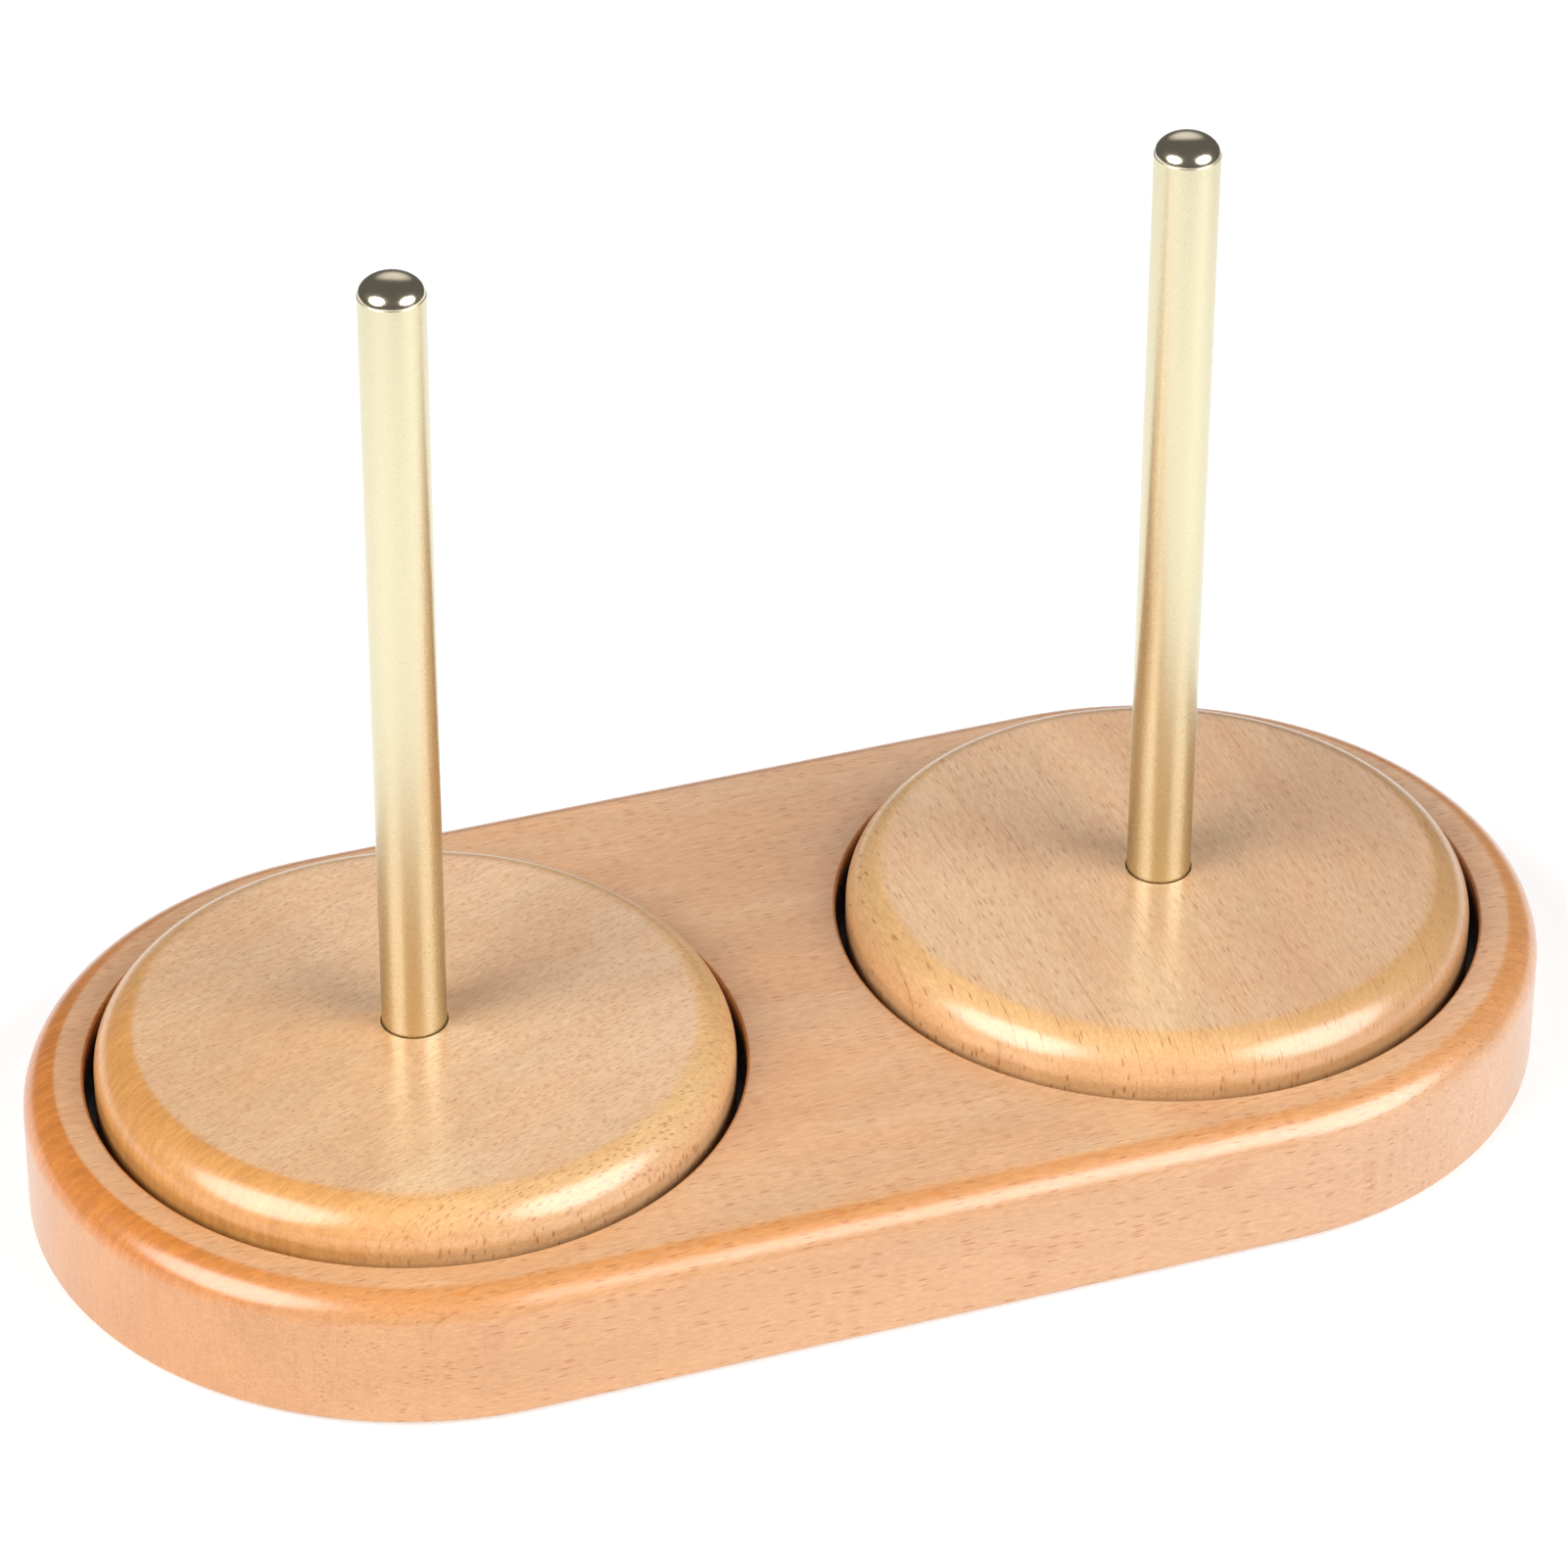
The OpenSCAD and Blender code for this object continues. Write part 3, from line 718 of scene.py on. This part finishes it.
class YARN_OT_stage(bpy.types.Operator):
    """Sets up the plain pale floor, the soft studio light and the camera"""

    bl_idname = "yarn_holder.stage"
    bl_label = "Stage"

    def execute(self, context):
        studio = context.scene.yarn_studio
        self.lay_floor(studio)
        self.light_room(context.scene, studio)
        self.stand_softbox("softbox_left", -75, 34, (45, 46), studio.softbox_left)
        self.stand_softbox("softbox_right", 42, 31, (47, 47), studio.softbox_right)
        self.set_camera(context.scene)
        context.scene.view_settings.view_transform = "Standard"
        return {"FINISHED"}

    def lay_floor(self, studio):
        """A plain pale floor at the foot of the pads, on a table that ends in the dim room."""
        half_width, below_pads = 0.45, Matrix.Translation((0, 0, -0.02 * MM))
        shape = bmesh.new()
        bmesh.ops.create_grid(shape, x_segments=1, y_segments=1, size=half_width, matrix=below_pads)
        mesh = bpy.data.meshes.new("studio_floor")
        shape.to_mesh(mesh)
        shape.free()
        material, tree = blank_material("opal_acrylic")
        finish_surface(
            tree, Base_Color=studio.floor, Roughness=0.9, Specular_IOR_Level=0.1,
            Emission_Color=(1.0, 1.0, 1.0, 1.0), Emission_Strength=studio.table,
        )
        mesh.materials.append(material)
        floor = bpy.data.objects.new("studio_floor", mesh)
        bpy.context.scene.collection.objects.link(floor)

    def light_room(self, scene, studio):
        """The room: dim all round, a pale panel behind the object, and white where the camera sees it."""
        world = bpy.data.worlds.new("studio")
        world.use_nodes = True
        tree = world.node_tree
        tree.nodes.clear()
        direction = add(tree, "ShaderNodeTexCoord")["Generated"]

        def glow(azimuth, elevation, inner, outer, low, high):
            """A round glow: high within the inner angle round its middle, low beyond the outer one."""
            facing = {0: direction, 1: tuple(towards(azimuth, elevation))}
            nearness = add(tree, "ShaderNodeVectorMath", facing, operation="DOT_PRODUCT")["Value"]
            inputs = {"Value": nearness, "From Min": cos(radians(outer)), "From Max": cos(radians(inner))}
            inputs.update({"To Min": low, "To Max": high})
            return add(tree, "ShaderNodeMapRange", inputs, interpolation_type="SMOOTHSTEP")[0]

        backdrop = glow(160, 27, inner=3, outer=22, low=studio.room, high=studio.backdrop)
        seen = add(tree, "ShaderNodeLightPath")["Is Camera Ray"]
        strength = add(tree, "ShaderNodeMath", {0: backdrop, 1: seen}, operation="MAXIMUM")[0]
        light = add(tree, "ShaderNodeBackground", {"Color": (1, 1, 1, 1), "Strength": strength})[0]
        add(tree, "ShaderNodeOutputWorld", {"Surface": light})
        scene.world = world

    def stand_softbox(self, name, azimuth, elevation, spread, brightness):
        """An oval soft light that faces the object: spread is its width and height in degrees, seen from
        there."""
        distance = 2.2
        lamp = bpy.data.lights.new(name, "AREA")
        lamp.shape = "ELLIPSE"
        lamp.size, lamp.size_y = (2 * distance * tan(radians(angle / 2)) for angle in spread)
        # The watts that give an ellipse of this size the brightness as its radiance
        lamp.energy = brightness * lamp.size * lamp.size_y * (tau / 2) ** 2 / 4
        light = bpy.data.objects.new(name, lamp)
        back = towards(azimuth, elevation)
        turn = back.to_track_quat("Z", "Y").to_matrix().to_4x4()
        light.matrix_world = Matrix.Translation(back * distance) @ turn
        light.visible_camera = False
        bpy.context.scene.collection.objects.link(light)

    def set_camera(self, scene):
        """The camera, at the photograph's viewing angle and distance."""
        camera = bpy.data.cameras.new("camera")
        camera.sensor_width = 36
        camera.lens = CAMERA_FOCAL_PIXELS / PHOTO_PIXELS * camera.sensor_width
        camera.clip_start, camera.clip_end = 0.05, 30
        view = bpy.data.objects.new("camera", camera)
        back = towards(CAMERA_AZIMUTH, CAMERA_ELEVATION)
        right = Vector((0, 0, 1)).cross(back).normalized()
        up = back.cross(right)
        roll = radians(CAMERA_ROLL)
        rolled_right = cos(roll) * right + sin(roll) * up
        rolled_up = cos(roll) * up - sin(roll) * right
        turn = Matrix((rolled_right, rolled_up, back)).transposed().to_4x4()
        place = Vector(CAMERA_TARGET) + back * CAMERA_DISTANCE
        view.matrix_world = Matrix.Translation(place) @ turn
        scene.collection.objects.link(view)
        scene.camera = view


class YARN_PT_panel(bpy.types.Panel):
    """Lists the pieces of the yarn holder and its sizes and colours"""

    bl_label = "Yarn holder"
    bl_idname = "YARN_PT_panel"
    bl_space_type = "VIEW_3D"
    bl_region_type = "UI"
    bl_category = "Yarn holder"

    def draw(self, context):
        for operator, group in zip(OPERATORS, SETTINGS):
            box = self.layout.box()
            box.operator(operator.bl_idname)
            settings = getattr(context.scene, group)
            for name in settings.__annotations__:
                box.prop(settings, name)


OPERATORS = (YARN_OT_board, YARN_OT_turntables, YARN_OT_rods, YARN_OT_hardware, YARN_OT_stage)
SETTINGS = {
    "yarn_board": BoardSettings,
    "yarn_turntables": TurntableSettings,
    "yarn_rods": RodSettings,
    "yarn_hardware": HardwareSettings,
    "yarn_studio": StudioSettings,
}


def register():
    for group, kind in SETTINGS.items():
        bpy.utils.register_class(kind)
        setattr(bpy.types.Scene, group, PointerProperty(type=kind))
    for kind in OPERATORS + (YARN_PT_panel,):
        bpy.utils.register_class(kind)


def unregister():
    for kind in (YARN_PT_panel,) + OPERATORS[::-1]:
        bpy.utils.unregister_class(kind)
    for group, kind in SETTINGS.items():
        delattr(bpy.types.Scene, group)
        bpy.utils.unregister_class(kind)


def main():
    register()
    for operator in OPERATORS:
        group, name = operator.bl_idname.split(".")
        getattr(getattr(bpy.ops, group), name)()


if __name__ == "__main__":
    main()
